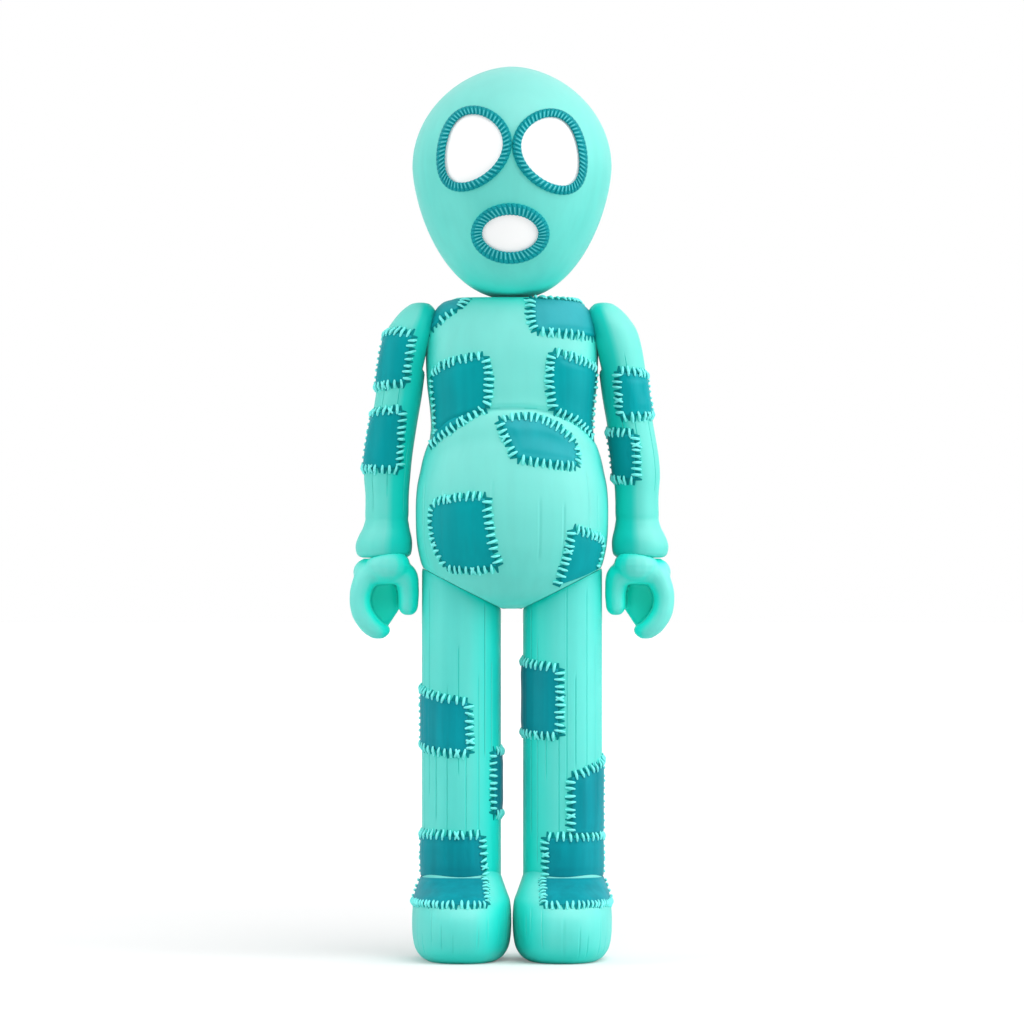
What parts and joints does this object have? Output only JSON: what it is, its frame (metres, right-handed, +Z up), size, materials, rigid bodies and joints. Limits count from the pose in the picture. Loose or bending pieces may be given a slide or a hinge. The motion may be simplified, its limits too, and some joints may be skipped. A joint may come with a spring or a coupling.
{
  "type": "vinyl art toy",
  "caption": "Standing patchwork doll figure in hollow mint vinyl with a round masked head, turning arms, wrists, hips and neck, and grip hands.",
  "frame": {"origin": "on the floor, midway between the feet, on the centre line of the head and the legs", "axes": "+Z up, the face looks along -Y, +X towards the figure's own left hand side as seen from behind, which is the viewer's right from the front"},
  "size_m": [0.1094, 0.0683, 0.2998],
  "materials": {
    "mint_vinyl": "satin",
    "teal_vinyl": "satin",
    "white_vinyl": "satin",
    "grey_abs": "matte"
  },
  "bodies": {
    "torso": {"torso_shell": "mint_vinyl", "neck_plug": "grey_abs"},
    "head": {"head_shell": "mint_vinyl", "left_eye_insert": "white_vinyl", "right_eye_insert": "white_vinyl", "mouth_insert": "white_vinyl", "left_eye_rim": "teal_vinyl", "right_eye_rim": "teal_vinyl", "mouth_rim": "teal_vinyl"},
    "left_arm": {"left_arm_shell": "mint_vinyl", "left_shoulder_plug": "grey_abs"},
    "left_hand": {"left_hand": "mint_vinyl", "left_wrist_plug": "grey_abs"},
    "left_leg": {"left_leg_shell": "mint_vinyl", "left_hip_plug": "grey_abs"},
    "right_arm": {"right_arm_shell": "mint_vinyl", "right_shoulder_plug": "grey_abs"},
    "right_hand": {"right_hand": "mint_vinyl", "right_wrist_plug": "grey_abs"},
    "right_leg": {"right_leg_shell": "mint_vinyl", "right_hip_plug": "grey_abs"}
  },
  "joints": [
    {"name": "neck_turn", "type": "hinge", "parent": "torso", "child": "head", "pos_m": [0, 0, 0.222], "axis": [0, 0, 1], "continuous": true},
    {"name": "left_shoulder_turn", "type": "hinge", "parent": "torso", "child": "left_arm", "pos_m": [-0.0276, 0, 0.209], "axis": [-0.9744, 0, 0.225], "range_deg": [-90, 120]},
    {"name": "left_wrist_turn", "type": "hinge", "parent": "left_arm", "child": "left_hand", "pos_m": [-0.0431, 0, 0.1344], "axis": [0, 0, 1], "continuous": true},
    {"name": "left_hip_swing", "type": "hinge", "parent": "torso", "child": "left_leg", "pos_m": [-0.017, 0, 0.1246], "axis": [-0.454, 0, -0.891], "range_deg": [0, 25]},
    {"name": "right_shoulder_turn", "type": "hinge", "parent": "torso", "child": "right_arm", "pos_m": [0.0276, 0, 0.209], "axis": [-0.9744, 0, -0.225], "range_deg": [-90, 120]},
    {"name": "right_wrist_turn", "type": "hinge", "parent": "right_arm", "child": "right_hand", "pos_m": [0.0431, 0, 0.1344], "axis": [0, 0, 1], "continuous": true},
    {"name": "right_hip_swing", "type": "hinge", "parent": "torso", "child": "right_leg", "pos_m": [0.017, 0, 0.1246], "axis": [-0.454, 0, 0.891], "range_deg": [0, 25]}
  ]
}
